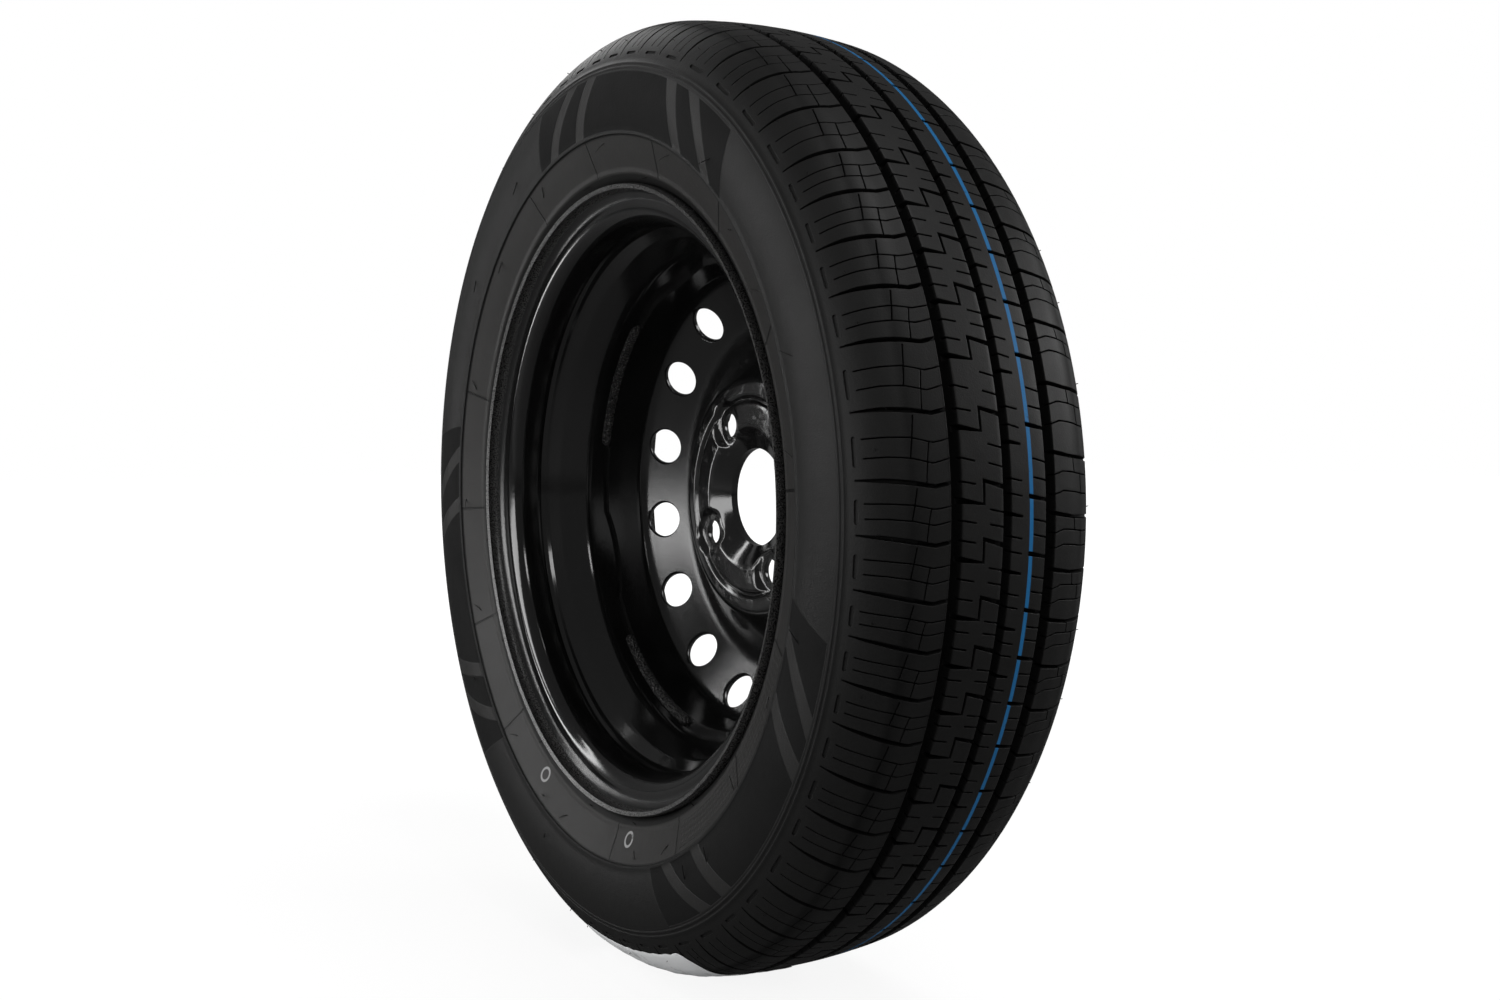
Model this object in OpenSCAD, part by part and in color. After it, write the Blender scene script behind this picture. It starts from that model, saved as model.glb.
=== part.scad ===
/* [Tyre] */
// outer diameter of the tyre at the middle of the tread
tyre_diameter = 550; // [535:1:590]
// half the widest width of the tyre across its sidewalls
tyre_half_width = 74.3; // [72:0.1:80]
// radius at which the tyre is widest
widest_radius = 226.7; // [222:0.1:230]
// thickness of the sidewall
sidewall_thickness = 7; // [5:0.5:9]
// radius of the slight crown across the tread
crown_radius = 320; // [250:5:450]
// half the width of the crown between the shoulder curves
tread_half_width = 38; // [36:0.5:42]
// radius of the shoulder curves
shoulder_radius = 40; // [34:0.5:46]
// depth of the tread grooves
groove_depth = 7; // [4:0.5:8]
// distance of the two outer ring grooves from the middle
ring_groove_offset = 28; // [26:0.2:30]
// width of the ring grooves
ring_groove_width = 5; // [3:0.1:6]
// width of the chamfer along one edge of the outer ring grooves
groove_chamfer = 1.5; // [0.6:0.1:2]
// width of the cross grooves on the shoulders
cross_groove_width = 3.4; // [2:0.1:5]
// width of the thick notches in the middle ribs
notch_width = 2.6; // [1.2:0.1:4]
// depth of the recessed bar on each shoulder block
bar_depth = 0.8; // [0.3:0.1:1.5]
// thickness of rubber between the grooves and the air inside
undertread = 4.5; // [3:0.5:7]

/* [Rim] */
// width of the rim between the flange faces
rim_width = 101.6; // [96:0.1:114]
// radius of the bead seats next to the flanges
seat_radius = 164.7; // [163:0.1:167]
// height of the flanges above the seats
flange_height = 17.3; // [16:0.1:18]
// radius of the rolled flange lips, on the tyre side
flange_roll = 9.5; // [8:0.1:10.5]
// thickness of the rim sheet
rim_sheet = 2.5; // [1.5:0.1:3.5]
// radius of the inner face of the well, which holds the disc
well_radius = 145; // [142:0.1:147]
// inboard end of the flat of the well, from the middle of the wheel
well_start = -5.2; // [-8:0.1:0]
// outboard end of the flat of the well
well_end = 23.2; // [21:0.1:24]

/* [Disc] */
// distance from the middle of the wheel out to the hub face
wheel_offset = 30; // [26:0.5:33]
// thickness of the pressed disc
disc_sheet = 4; // [3:0.1:4.5]
// inboard edge of the disc, from the middle of the wheel
disc_edge = 8.2; // [5:0.1:12]
// outboard reach of the nose of the disc, at the middle of the sheet
nose_reach = 55.6; // [53:0.1:58]
// radius of the middle of the nose
nose_radius = 107.5; // [105:0.5:110]
// slope of the band with the hand holes, in degrees
slope_angle = 33; // [29:0.5:37]
// radius of the fillet between the rolled edge and the slope
edge_fillet = 12; // [9:0.5:14]
// radius of the centre bore
bore_radius = 30; // [27:0.1:33]
// diameter of the circle through the bolt holes
bolt_circle = 100; // [98:0.1:102]
// radius of the bolt holes
bolt_hole_radius = 7.25; // [6.5:0.05:8]
// number of bolt holes
bolt_count = 4; // [3:1:4]
// radius of the pocket round each bolt hole
pocket_radius = 12.6; // [11:0.1:13]
// depth of the pocket round each bolt hole
pocket_depth = 3.5; // [2:0.1:4]
// number of round hand holes
hand_hole_count = 16; // [8:1:18]
// radius of the hand holes
hand_hole_radius = 11.5; // [8:0.1:12.5]
// radius of the circle of hand holes
hand_hole_circle = 128.8; // [126:0.1:131]
// turn of the hand holes past the bolt holes, in degrees
hand_hole_turn = 3.1; // [-11:0.1:11]
// depth of the scallops in the edge of the disc
scallop_depth = 5.2; // [2:0.1:7]
// width of the scallops, in degrees
scallop_angle = 23.4; // [12:0.2:30]

/* [Weld beads] */
// length of each weld bead, in degrees
weld_angle = 37; // [15:1:50]
// width of the bead on the rim
weld_width = 6.8; // [4:0.1:9]

/* [Valve] */
// radius of the valve hole in the rim
valve_hole_radius = 5.75; // [5:0.05:6]
// distance of the valve hole up the outboard slope of the well
valve_up = 9.2; // [8.6:0.1:9.8]
// height of the valve above the rim, without its cap
valve_height = 33; // [30:0.5:40]
// radius of the thread at the tip of the valve
valve_thread_radius = 3.85; // [3.5:0.05:4.2]
// outer radius of the cap
cap_radius = 4.9; // [4.7:0.1:5.6]
// length of the cap
cap_length = 12; // [9:0.5:14]

/* [Hidden] */
$fn = 128;
bend_steps = 6;
// clearance between pieces that touch
seat_gap = 0.05;
// clearance between the tyre and the rim
bead_gap = 0.1;
tyre_radius = tyre_diameter / 2;
// direction of the first bolt hole, measured from +X towards +Z
first_bolt = 118.5;
first_weld = 149.7;
first_scallop = 197.7;
valve_turn = first_scallop - 90;

// points on an arc in a section, drawn axial distance first, angles from the outward radius
function arc(c, r, from, to, steps) = [for (i = [0:steps]) let (a = from + (to - from) * i / steps)
  [c[0] + r * sin(a), c[1] + r * cos(a)]];
function reversed(list) = [for (i = [len(list) - 1:-1:0]) list[i]];
function mirrored(list) = [for (p = reversed(list)) [-p[0], p[1]]];
// a line through corners [axial distance, radius, bend radius], with each corner rounded to its bend radius
function unit(v) = v / norm(v);
function corner(list, i) = [list[i][0], list[i][1]];
function bend(a, b, c, r) = let (u = unit(a - b), v = unit(c - b), half = acos(u * v) / 2, m = b + unit(u + v) * r / sin(half),
  p = b + u * r / tan(half) - m, q = b + v * r / tan(half) - m) [for (i = [0:bend_steps]) m + r * unit(p * (bend_steps - i) + q * i)];
function rounded(list) = [for (i = [0:len(list) - 1]) each (i == 0 || i == len(list) - 1 || list[i][2] == 0 ? [corner(list, i)]
  : bend(corner(list, i - 1), corner(list, i), corner(list, i + 1), list[i][2]))];
// the same line, moved sideways by t
function side(a, b) = let (u = unit(b - a)) [-u[1], u[0]];
function moved(list, t) = [for (i = [0:len(list) - 1]) let (m = side(list[max(i - 1, 0)], list[max(i, 1)]),
  n = side(list[min(i, len(list) - 2)], list[min(i + 1, len(list) - 1)])) list[i] + (m + n) * t / (1 + m * n)];
// a section, drawn axial distance first, turned round the axle
module turned() {
  rotate([90, 0, 0]) rotate_extrude(convexity = 8) rotate([0, 0, -90]) children();
}
// turned from +X towards +Z, as seen from the inboard side
module at_turn(angle) {
  rotate([0, -angle, 0]) children();
}

// Tyre section
crown_centre = tyre_radius - crown_radius;
function crown(y) = crown_centre + sqrt(crown_radius * crown_radius - y * y);
crown_end = asin(tread_half_width / crown_radius);
shoulder_centre = [(crown_radius - shoulder_radius) * sin(crown_end),
  crown_centre + (crown_radius - shoulder_radius) * cos(crown_end)];
side_radius = 60;
side_centre = [tyre_half_width - side_radius, widest_radius];
flange_face = rim_width / 2;
roll_centre = [flange_face + flange_roll, seat_radius + flange_height - flange_roll];
bead_width = 13.3;
bead_toe = flange_face - bead_width;
seat_taper = tan(5);

outer_side = concat(
  arc([0, crown_centre], crown_radius, crown_end / 4, crown_end, 4),
  arc(shoulder_centre, shoulder_radius, crown_end + 9, 72, 7),
  arc(side_centre, side_radius, 77, 106, 5),
  [[roll_centre[0] + 6.5, roll_centre[1] + 24], [roll_centre[0] + 1.7, roll_centre[1] + 12.6]]);
bead_side = concat(
  arc(roll_centre, flange_roll + bead_gap, -10, -90, 7),
  [[flange_face - bead_gap, seat_radius + 6.5], [flange_face - 1.9, seat_radius + 2],
    [flange_face - 6.4, seat_radius + bead_gap], [bead_toe, seat_radius + bead_gap - (bead_width - 6.4) * seat_taper]]);
inner_side = concat(
  [[bead_toe + 0.4, seat_radius + 4], [bead_toe + 6.5, seat_radius + 12], [bead_toe + 19, seat_radius + 27]],
  arc(side_centre, side_radius - sidewall_thickness, 106, 80, 4),
  arc(shoulder_centre, shoulder_radius - groove_depth - undertread + 2, 70, 20, 5),
  arc([0, crown_centre], crown_radius - groove_depth - undertread, crown_end, crown_end / 4, 3));
half_outline = concat(outer_side, bead_side, inner_side);

module ring_groove(y, chamfer) {
  edge = y - ring_groove_width / 2;
  translate([edge, crown(y) - groove_depth]) square([ring_groove_width, 20]);
  if (chamfer > 0)
    polygon([[edge - chamfer, crown(edge)], [edge + 0.5, crown(edge) - chamfer - 0.5], [edge + 1, crown(edge) + 5],
      [edge - chamfer, crown(edge) + 5]]);
}
module tyre_section() {
  difference() {
    polygon(concat(half_outline, mirrored(half_outline)));
    ring_groove(-ring_groove_offset, groove_chamfer);
    ring_groove(0, 0);
    ring_groove(ring_groove_offset, groove_chamfer);
  }
}

// Tread pattern: short, middle and long pitches in runs, so that the tread hums less
pitch_runs = [[8, 4], [10, 2], [8, 2], [7, 3], [8, 3], [10, 2], [8, 1], [10, 1], [8, 2], [7, 4], [8, 2], [10, 3],
  [8, 3], [7, 3], [8, 2], [10, 2], [8, 2], [7, 4], [8, 2], [10, 3], [8, 3], [7, 4], [8, 2], [10, 4]];
pitches = [for (run = pitch_runs) for (k = [1:run[1]]) run[0]];
function sum(list, i = 0, s = 0) = i >= len(list) ? s : sum(list, i + 1, s + list[i]);
function starts(list, i = 0, s = 0) = i >= len(list) ? [] : concat([s], starts(list, i + 1, s + list[i]));
pitch_starts = starts(pitches);
pitch_unit = 360 / sum(pitches);
first_pitch = 40.5;
shoulder_floor = tyre_radius - groove_depth - 0.6;
rib_floor = tyre_radius - groove_depth + 1;
// where the cross grooves run out on the shoulder, and where the bars lie
groove_end = [for (a = [66.5]) [shoulder_centre[0] + shoulder_radius * sin(a), shoulder_centre[1] + shoulder_radius * cos(a)]][0];
bar_angle = 61.6;
bar_place = [shoulder_centre[0] + shoulder_radius * sin(bar_angle), shoulder_centre[1] + shoulder_radius * cos(bar_angle)];

// a cutter straight down through the tread; its outline is drawn flat, across the tread and down from the pitch start
module tread_cut(outline, floor) {
  translate([floor, 0, 0]) rotate([0, 90, 0]) linear_extrude(tyre_radius - floor + 5) polygon([for (p = outline) [p[1], p[0]]]);
}
// what lies above the floor of a shoulder groove, which runs out on the curve of the shoulder
module above_groove_floor(side) {
  translate([0, 0, -14]) linear_extrude(20)
    polygon([[shoulder_floor, 26 * side], [shoulder_floor, 46 * side], [groove_end[1], groove_end[0] * side],
      [groove_end[1], 95 * side], [tyre_radius + 20, 95 * side], [tyre_radius + 20, 26 * side]]);
}
module left_shoulder_groove() {
  w = cross_groove_width;
  intersection() {
    tread_cut([[-ring_groove_offset - 1, 1.6], [-39.5, 3.5], [-51, 1.3], [-60, 0.1], [-90, -0.2], [-90, w * 0.6], [-66, w],
      [-57, w + 1.2], [-45, w + 3.1], [-38.9, w + 3.8], [-ring_groove_offset - 1, w + 1.4]], groove_end[1] - 10);
    above_groove_floor(-1);
  }
}
module right_shoulder_groove() {
  w = cross_groove_width;
  intersection() {
    tread_cut([[ring_groove_offset + 1, -1], [42, 1.2], [60, 2], [90, 2.3], [90, w * 0.8 + 2], [60, w + 1.7],
      [42, w * 0.8 + 1.2], [ring_groove_offset + 1, w * 0.6]], groove_end[1] - 10);
    above_groove_floor(1);
  }
}
// the stepped cut across the rib left of the middle
module left_rib_cut() {
  v = notch_width;
  tread_cut([[-ring_groove_offset, 9.3], [-14.3, 12.4], [-14.3, 1.4], [0, 4.8], [0, v + 4.8], [-12.9, v + 1], [-12.9, v + 11],
    [-ring_groove_offset, v + 9.9]], rib_floor);
}
// the two notches in the rib right of the middle
module right_rib_cuts() {
  v = notch_width;
  tread_cut([[0, 16.4], [9.3, 18.6], [9.3, v * 0.5 + 18.5], [0, v * 0.9 + 16.4]], rib_floor);
  tread_cut([[13, 8.7], [ring_groove_offset, 11.8], [ring_groove_offset, v * 0.6 + 11.8], [13, v * 0.9 + 8.7]], rib_floor);
}
module shoulder_bar(side, length) {
  translate([bar_place[1], side * bar_place[0], 0]) rotate([0, 0, side * bar_angle])
    cube([bar_depth * 2, 2, length], center = true);
}
module pitch_cuts(pitch) {
  left_shoulder_groove();
  translate([0, 0, -pitch * 0.68]) right_shoulder_groove();
  left_rib_cut();
  right_rib_cuts();
  translate([0, 0, -pitch * 0.6]) shoulder_bar(-1, pitch * 0.45);
  translate([0, 0, -pitch * 1.28]) shoulder_bar(1, pitch * 0.45);
}
module tyre() color("dimgray") difference() {
  turned() tyre_section();
  for (i = [0:len(pitches) - 1]) at_turn(first_pitch - pitch_starts[i] * pitch_unit)
    pitch_cuts(pitches[i] * pitch_unit * PI / 180 * crown(tread_half_width));
}

// Rim: a rolled sheet, drawn along its tyre side
hump = 0.9;
seat_end = 15.2;
slope_top = [flange_face - seat_end - 4.6, seat_radius - (seat_end + 4.6) * seat_taper + hump];
slope_foot = [well_end, well_radius + rim_sheet];
slope_lean = atan2(slope_top[0] - slope_foot[0], slope_top[1] - slope_foot[1]);
inboard_top = [-flange_face + seat_end + 8.8, seat_radius - (seat_end + 8.8) * seat_taper + hump];
lip_angle = 25;
rim_line = concat(
  arc(roll_centre, flange_roll, lip_angle, -90, 12),
  rounded([[flange_face, roll_centre[1] - 1, 0], [flange_face, seat_radius, 6.5],
    [flange_face - seat_end, seat_radius - seat_end * seat_taper, 12], [slope_top[0], slope_top[1], 3.8],
    [slope_foot[0], slope_foot[1], 3], [well_start, well_radius + rim_sheet, 10], [inboard_top[0], inboard_top[1], 5],
    [-flange_face + seat_end + 3, seat_radius - (seat_end + 3) * seat_taper, 12], [-flange_face, seat_radius, 6.5],
    [-flange_face, roll_centre[1] - 1, 0]]),
  arc([-roll_centre[0], roll_centre[1]], flange_roll, 90, -lip_angle, 12));
module rim() color("gray") {
  difference() {
    turned() polygon(concat(rim_line, reversed(moved(rim_line, rim_sheet))));
    at_turn(valve_turn) at_valve() translate([0, 0, -20]) cylinder(r = valve_hole_radius, h = 30);
  }
}

// Disc: a pressed sheet, drawn along the middle of the sheet
half_sheet = disc_sheet / 2;
disc_rim_radius = well_radius - seat_gap - half_sheet;
face = wheel_offset + half_sheet;
nose_bend = disc_sheet * 3.5;
hub_slope = 35;
// the nose is the corner where the slope and the hub side would meet
nose_lift = nose_bend * (1 / cos((slope_angle + hub_slope) / 2) - 1) * cos((slope_angle - hub_slope) / 2);
nose = [nose_reach + nose_lift, nose_radius];
hand_hole_y = nose[0] - (hand_hole_circle - nose_radius) * tan(slope_angle);
bolt_radius = bolt_circle / 2;
// the hub side: an outer crest, a ring groove, the flat land and the dish round the bore
crest = [face + disc_sheet * 0.1, bolt_radius + 19];
crest_inner = bolt_radius + 13;
ring_groove_outer = bolt_radius + 11.1;
ring_groove_inner = bolt_radius + 8.9;
ring_groove_dip = disc_sheet / 2;
land_outer = bolt_radius + 7;
land_inner = bolt_radius - 6.4;
dish_depth = 8.4;
hub_foot = [crest[0], nose_radius - (nose[0] - crest[0]) / tan(hub_slope)];
disc_line = rounded([[disc_edge, disc_rim_radius, 0],
  [nose[0] - (disc_rim_radius - nose_radius) * tan(slope_angle), disc_rim_radius, edge_fillet], [nose[0], nose[1], nose_bend],
  [hub_foot[0], hub_foot[1], 6], [crest[0], crest_inner, 2.2], [face + ring_groove_dip, ring_groove_outer, 2.2],
  [face + ring_groove_dip, ring_groove_inner, 2.2], [face, land_outer, 2.2], [face, land_inner, 5],
  [face + dish_depth, bore_radius + 0.6, 2.2], [face + dish_depth + 1, bore_radius - disc_sheet, 0]]);
outboard_line = moved(disc_line, half_sheet);
inboard_line = moved(disc_line, -half_sheet);
// one bolt pocket, drawn as radius and depth from the hub face: the hollow, and the boss it raises on the outboard side
pocket_line = rounded([[0, pocket_depth, 0], [pocket_radius - 1.2, pocket_depth, 3], [pocket_radius + 2.8, -0.1, 4],
  [pocket_radius + 7, -0.5, 0]]);
boss_line = rounded([[0, pocket_depth + disc_sheet, 0], [pocket_radius + 0.2, pocket_depth + disc_sheet, 3.5],
  [pocket_radius + 4.4, disc_sheet - 0.1, 4], [pocket_radius + 8.5, disc_sheet - 0.6, 0]]);
through = nose_reach * 2;
module at_bolts() {
  for (i = [0:bolt_count - 1]) at_turn(first_bolt + i * 360 / bolt_count)
    translate([bolt_radius, wheel_offset, 0]) rotate([-90, 0, 0]) children();
}
module disc() color("silver") difference() {
  union() {
    turned() polygon(concat(outboard_line, [[disc_edge, bore_radius - disc_sheet]]));
    at_bolts() rotate_extrude() polygon(concat(boss_line, [[pocket_radius + 8.5, half_sheet + 0.3], [0, half_sheet + 0.3]]));
  }
  // the space on the inboard side, which leaves the sheet
  turned() polygon(concat(inboard_line, [[disc_edge - 5, bore_radius - disc_sheet - 2], [disc_edge - 5, disc_rim_radius - half_sheet]]));
  rotate([90, 0, 0]) cylinder(r = bore_radius, h = through * 2, center = true);
  at_bolts() {
    rotate_extrude() polygon(concat(pocket_line, [[pocket_radius + 7, -5], [0, -5]]));
    cylinder(r = bolt_hole_radius, h = through, center = true);
    // cone that centres the bolt, 60 degrees across
    translate([0, 0, pocket_depth + disc_sheet - 3]) cylinder(r1 = bolt_hole_radius - 0.4, r2 = bolt_hole_radius + 5.37, h = 10);
  }
  for (i = [0:hand_hole_count - 1]) at_turn(first_bolt + hand_hole_turn + i * 360 / hand_hole_count)
    translate([hand_hole_circle, hand_hole_y, 0]) rotate([0, 0, -slope_angle]) rotate([-90, 0, 0])
      cylinder(r = hand_hole_radius, h = disc_sheet * 6, center = true);
  for (i = [0:3]) at_turn(first_scallop + i * 90) scallop();
}
module scallop() {
  half = well_radius * sin(scallop_angle / 2);
  bow = (half * half - scallop_depth * scallop_depth) / (2 * scallop_depth);
  translate([well_radius - 12, disc_edge - bow, 0]) rotate([0, 90, 0]) cylinder(r = bow + scallop_depth, h = 24);
}

// Weld beads between the inboard edge of the disc and the well
module weld_beads() color("darkgray") {
  top = well_radius - seat_gap;
  low = well_radius - disc_sheet * 0.85;
  edge = disc_edge - seat_gap;
  for (i = [0:3]) at_turn(first_weld + i * 90 - weld_angle / 2)
    rotate([90, 0, 0]) rotate_extrude(angle = weld_angle) rotate([0, 0, -90])
      polygon([[edge, top], [edge - weld_width, top], [edge - weld_width * 0.96, top - disc_sheet * 0.22],
        [edge - weld_width * 0.7, top - disc_sheet * 0.55], [edge - weld_width * 0.35, low - disc_sheet * 0.03], [edge, low]]);
}

// Valve, drawn upright at the outer face of the rim and moved to its hole
valve_foot = slope_foot + valve_up * [sin(slope_lean), cos(slope_lean)] + rim_sheet * [cos(slope_lean), -sin(slope_lean)];
module at_valve() {
  translate([valve_foot[1], valve_foot[0], 0]) rotate([0, 0, slope_lean]) rotate([-90, 0, 0]) children();
}
module valve_body() color("black") at_turn(valve_turn) at_valve() {
  t = rim_sheet;
  b = valve_hole_radius - seat_gap;
  difference() {
    rotate_extrude() polygon([[0, -t - 9], [b - 1, -t - 9], [b + 0.2, -t - 8.4], [b + 1.4, -t - 2], [b + 1.4, -t - 0.6], [b + 1, -t - 0.1],
      [b, -t - 0.1], [b, 0.1], [b + 1.1, 0.3], [b + 1.2, 1.8], [b + 0.5, 3], [b - 0.1, 12], [b - 0.6, valve_height - 12], [b - 1.4, valve_height - 11],
      [0, valve_height - 11]]);
    translate([0, 0, -30]) cylinder(r = valve_thread_radius - 0.6, h = 80);
  }
}
module valve_stem() color("gold") at_turn(valve_turn) at_valve() {
  r = valve_thread_radius;
  h = valve_height;
  difference() {
    rotate_extrude() polygon([[0, -rim_sheet - 9.6], [r - 0.65, -rim_sheet - 9.6], [r - 0.65, h - 10.8], [r, h - 10.2], [r, h - 0.5],
      [r - 0.5, h], [0, h]]);
    translate([0, 0, -30]) cylinder(r = 1.4, h = 80);
    translate([0, 0, h - 24]) cylinder(r = 2.1, h = 40);
    translate([0, 0, h - 8]) cylinder(r1 = 2.1, r2 = 2.7, h = 1.2);
    translate([0, 0, h - 6.8]) cylinder(r = 2.7, h = 10);
  }
}
core_top = valve_height - 0.6;
core_length = 17;
pin_radius = 0.65;
spring_top = core_top - 5.8;
spring_foot = core_top - core_length + 0.75;
module valve_core_barrel() color("goldenrod") at_turn(valve_turn) at_valve() {
  low = core_top - core_length;
  difference() {
    rotate_extrude() polygon([[0, low], [1.75, low], [1.75, core_top - 6.4], [2.65, core_top - 6], [2.65, core_top - 1.2],
      [2.2, core_top - 1.2], [2.2, core_top], [0, core_top]]);
    translate([0, 0, low - 1]) cylinder(r = pin_radius + seat_gap, h = core_length + 2);
    translate([0, 0, low + 0.7]) cylinder(r = 1.35, h = core_length - 5.5);
    // flats for the key that turns the core in
    for (side = [0, 1]) mirror([side, 0, 0]) translate([0.95, -3, core_top - 1.2]) cube([3, 6, 2]);
  }
}
module valve_core_ring() color("white") at_turn(valve_turn) at_valve() {
  difference() {
    translate([0, 0, core_top - 9.8]) cylinder(r = 2.05, h = 2);
    translate([0, 0, core_top - 12]) cylinder(r = 1.8, h = 6);
  }
}
module valve_pin() color("silver") at_turn(valve_turn) at_valve() {
  low = core_top - core_length;
  rotate_extrude() polygon([[0, low - 3], [1.2, low - 3], [1.2, low - 2.2], [pin_radius, low - 2], [pin_radius, spring_top + 0.05],
    [1.2, spring_top + 0.05], [1.2, spring_top + 0.45], [pin_radius, spring_top + 0.5], [pin_radius, core_top - 0.2], [0.45, core_top], [0, core_top]]);
}
module valve_pin_seal() color("black") at_turn(valve_turn) at_valve() {
  low = core_top - core_length;
  difference() {
    translate([0, 0, low - 1.95]) cylinder(r = 1.7, h = 1.9);
    translate([0, 0, low - 3]) cylinder(r = pin_radius + seat_gap, h = 4);
  }
}
// a round wire wound in a helix, ring by ring
module coil(radius, wire, foot, top, turns) {
  steps = 12 * turns;
  sides = 6;
  rise = top - foot - 2 * wire;
  points = [for (i = [0:steps]) for (k = [0:sides - 1]) let (a = i * 30, q = k * 360 / sides, r = radius + wire * cos(q))
    [r * cos(a), r * sin(a), foot + wire + rise * i / steps + wire * sin(q)]];
  walls = [for (i = [0:steps - 1]) for (k = [0:sides - 1]) let (n = (k + 1) % sides, a = i * sides + k, b = i * sides + n)
    each [[a, b, b + sides], [a, b + sides, a + sides]]];
  polyhedron(points, concat([[for (k = [sides - 1:-1:0]) k]], walls, [[for (k = [0:sides - 1]) steps * sides + k]]), convexity = 8);
}
module valve_spring() color("silver") at_turn(valve_turn) at_valve() {
  coil(1.0, 0.18, spring_foot, spring_top, 7);
}
module valve_cap() color("black") at_turn(valve_turn) at_valve() {
  top = valve_height + 2.6;
  difference() {
    rotate_extrude() polygon([[0, top - cap_length], [cap_radius - 0.4, top - cap_length], [cap_radius, top - cap_length + 0.5], [cap_radius - 0.1, top - 1.2],
      [cap_radius - 1.2, top], [0, top]]);
    translate([0, 0, top - cap_length - 1]) cylinder(r = valve_thread_radius + 0.08, h = cap_length - 0.8);
  }
}
module valve_cap_washer() color("dimgray") at_turn(valve_turn) at_valve() {
  translate([0, 0, valve_height + seat_gap]) difference() {
    cylinder(r = valve_thread_radius - 0.1, h = 0.7);
    translate([0, 0, -1]) cylinder(r = 1.6, h = 3);
  }
}

tyre();
rim();
disc();
weld_beads();
valve_body();
valve_stem();
valve_core_barrel();
valve_core_ring();
valve_pin();
valve_pin_seal();
valve_spring();
valve_cap();
valve_cap_washer();
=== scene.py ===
import bpy
import bmesh
import random
from math import acos, asin, atan2, copysign, cos, degrees, dist, pi, radians, sin, sqrt, tan
from mathutils import Matrix, Vector, noise


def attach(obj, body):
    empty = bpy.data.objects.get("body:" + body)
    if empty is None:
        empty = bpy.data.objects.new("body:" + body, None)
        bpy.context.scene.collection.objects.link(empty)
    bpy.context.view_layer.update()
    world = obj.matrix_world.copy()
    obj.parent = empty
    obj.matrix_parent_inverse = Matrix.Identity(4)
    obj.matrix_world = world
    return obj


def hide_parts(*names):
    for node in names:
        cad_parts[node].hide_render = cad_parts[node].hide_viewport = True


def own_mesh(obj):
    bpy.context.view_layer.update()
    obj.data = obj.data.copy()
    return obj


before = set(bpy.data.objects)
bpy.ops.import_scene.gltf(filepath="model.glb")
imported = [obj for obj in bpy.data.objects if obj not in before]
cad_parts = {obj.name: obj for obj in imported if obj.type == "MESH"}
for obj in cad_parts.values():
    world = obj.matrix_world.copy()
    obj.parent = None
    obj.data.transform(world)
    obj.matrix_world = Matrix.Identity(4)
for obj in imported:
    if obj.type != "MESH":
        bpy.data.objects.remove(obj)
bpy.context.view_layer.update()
scene, mm = bpy.context.scene, 0.001

# the photograph's camera: degrees round and above, metres away, degrees past the middle, mm of lens
view = {"azimuth": 59.706, "elevation": 2.603, "distance": 0.9535, "pan": 1.704, "tilt": -0.062,
        "lens": 38.0, "film": 36.0, "near": 0.01}


def newObject(name, data):
    made = bpy.data.objects.new(name, data)
    scene.collection.objects.link(made)
    return made


def setCamera(v):
    a, e, p, q = (radians(v[k]) for k in ("azimuth", "elevation", "pan", "tilt"))
    back = Vector((sin(a) * cos(e), -cos(a) * cos(e), sin(e)))
    right = Vector((cos(a), sin(a), 0))
    up = back.cross(right)
    ahead = -back * cos(p) + right * sin(p)
    side = right * cos(p) + back * sin(p)
    aim = ahead * cos(q) + up * sin(q)
    top = up * cos(q) - ahead * sin(q)
    data = bpy.data.cameras.new("photoCamera")
    data.lens, data.sensor_width, data.clip_start = v["lens"], v["film"], v["near"]
    cam = newObject("photoCamera", data)
    turned = Matrix((side, top, -aim)).transposed().to_4x4()
    cam.matrix_world = Matrix.Translation(back * v["distance"]) @ turned
    scene.camera = cam


setCamera(view)
print("camera set")


class Wire:  # one shader value; sums and products on it add Math nodes
    def __init__(self, kit, socket):
        self.kit, self.socket = kit, socket

    def math(self, kind, *others, clamp=False, back=False):
        values = others + (self,) if back else (self,) + others
        return self.kit.node("ShaderNodeMath", {"operation": kind, "use_clamp": clamp}, dict(enumerate(values)))

    def __add__(self, o): return self.math("ADD", o)
    def __radd__(self, o): return self.math("ADD", o)
    def __sub__(self, o): return self.math("SUBTRACT", o)
    def __rsub__(self, o): return self.math("SUBTRACT", o, back=True)
    def __mul__(self, o): return self.math("MULTIPLY", o)
    def __rmul__(self, o): return self.math("MULTIPLY", o)
    def __truediv__(self, o): return self.math("DIVIDE", o)
    def __rtruediv__(self, o): return self.math("DIVIDE", o, back=True)

    # masks: 1 where the value is so, 0 elsewhere, with an edge as wide as soft
    def above(self, edge, soft): return ((self - edge) / soft + 0.5).math("ADD", 0, clamp=True)
    def below(self, edge, soft): return 1 - self.above(edge, soft)
    def within(self, low, high, soft): return self.above(low, soft) * (1 - self.above(high, soft))
    def near(self, middle, half, soft): return (self - middle).size().below(half, soft)
    def either(self, o): return self.math("MAXIMUM", o)

    def size(self): return self.math("ABSOLUTE")
    def root(self): return self.math("SQRT")
    def share(self): return self.math("FRACT") - 0.5
    def fromStep(self, first, step): return ((self - first) / step + 0.5).share()  # past the nearest of equal steps


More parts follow.
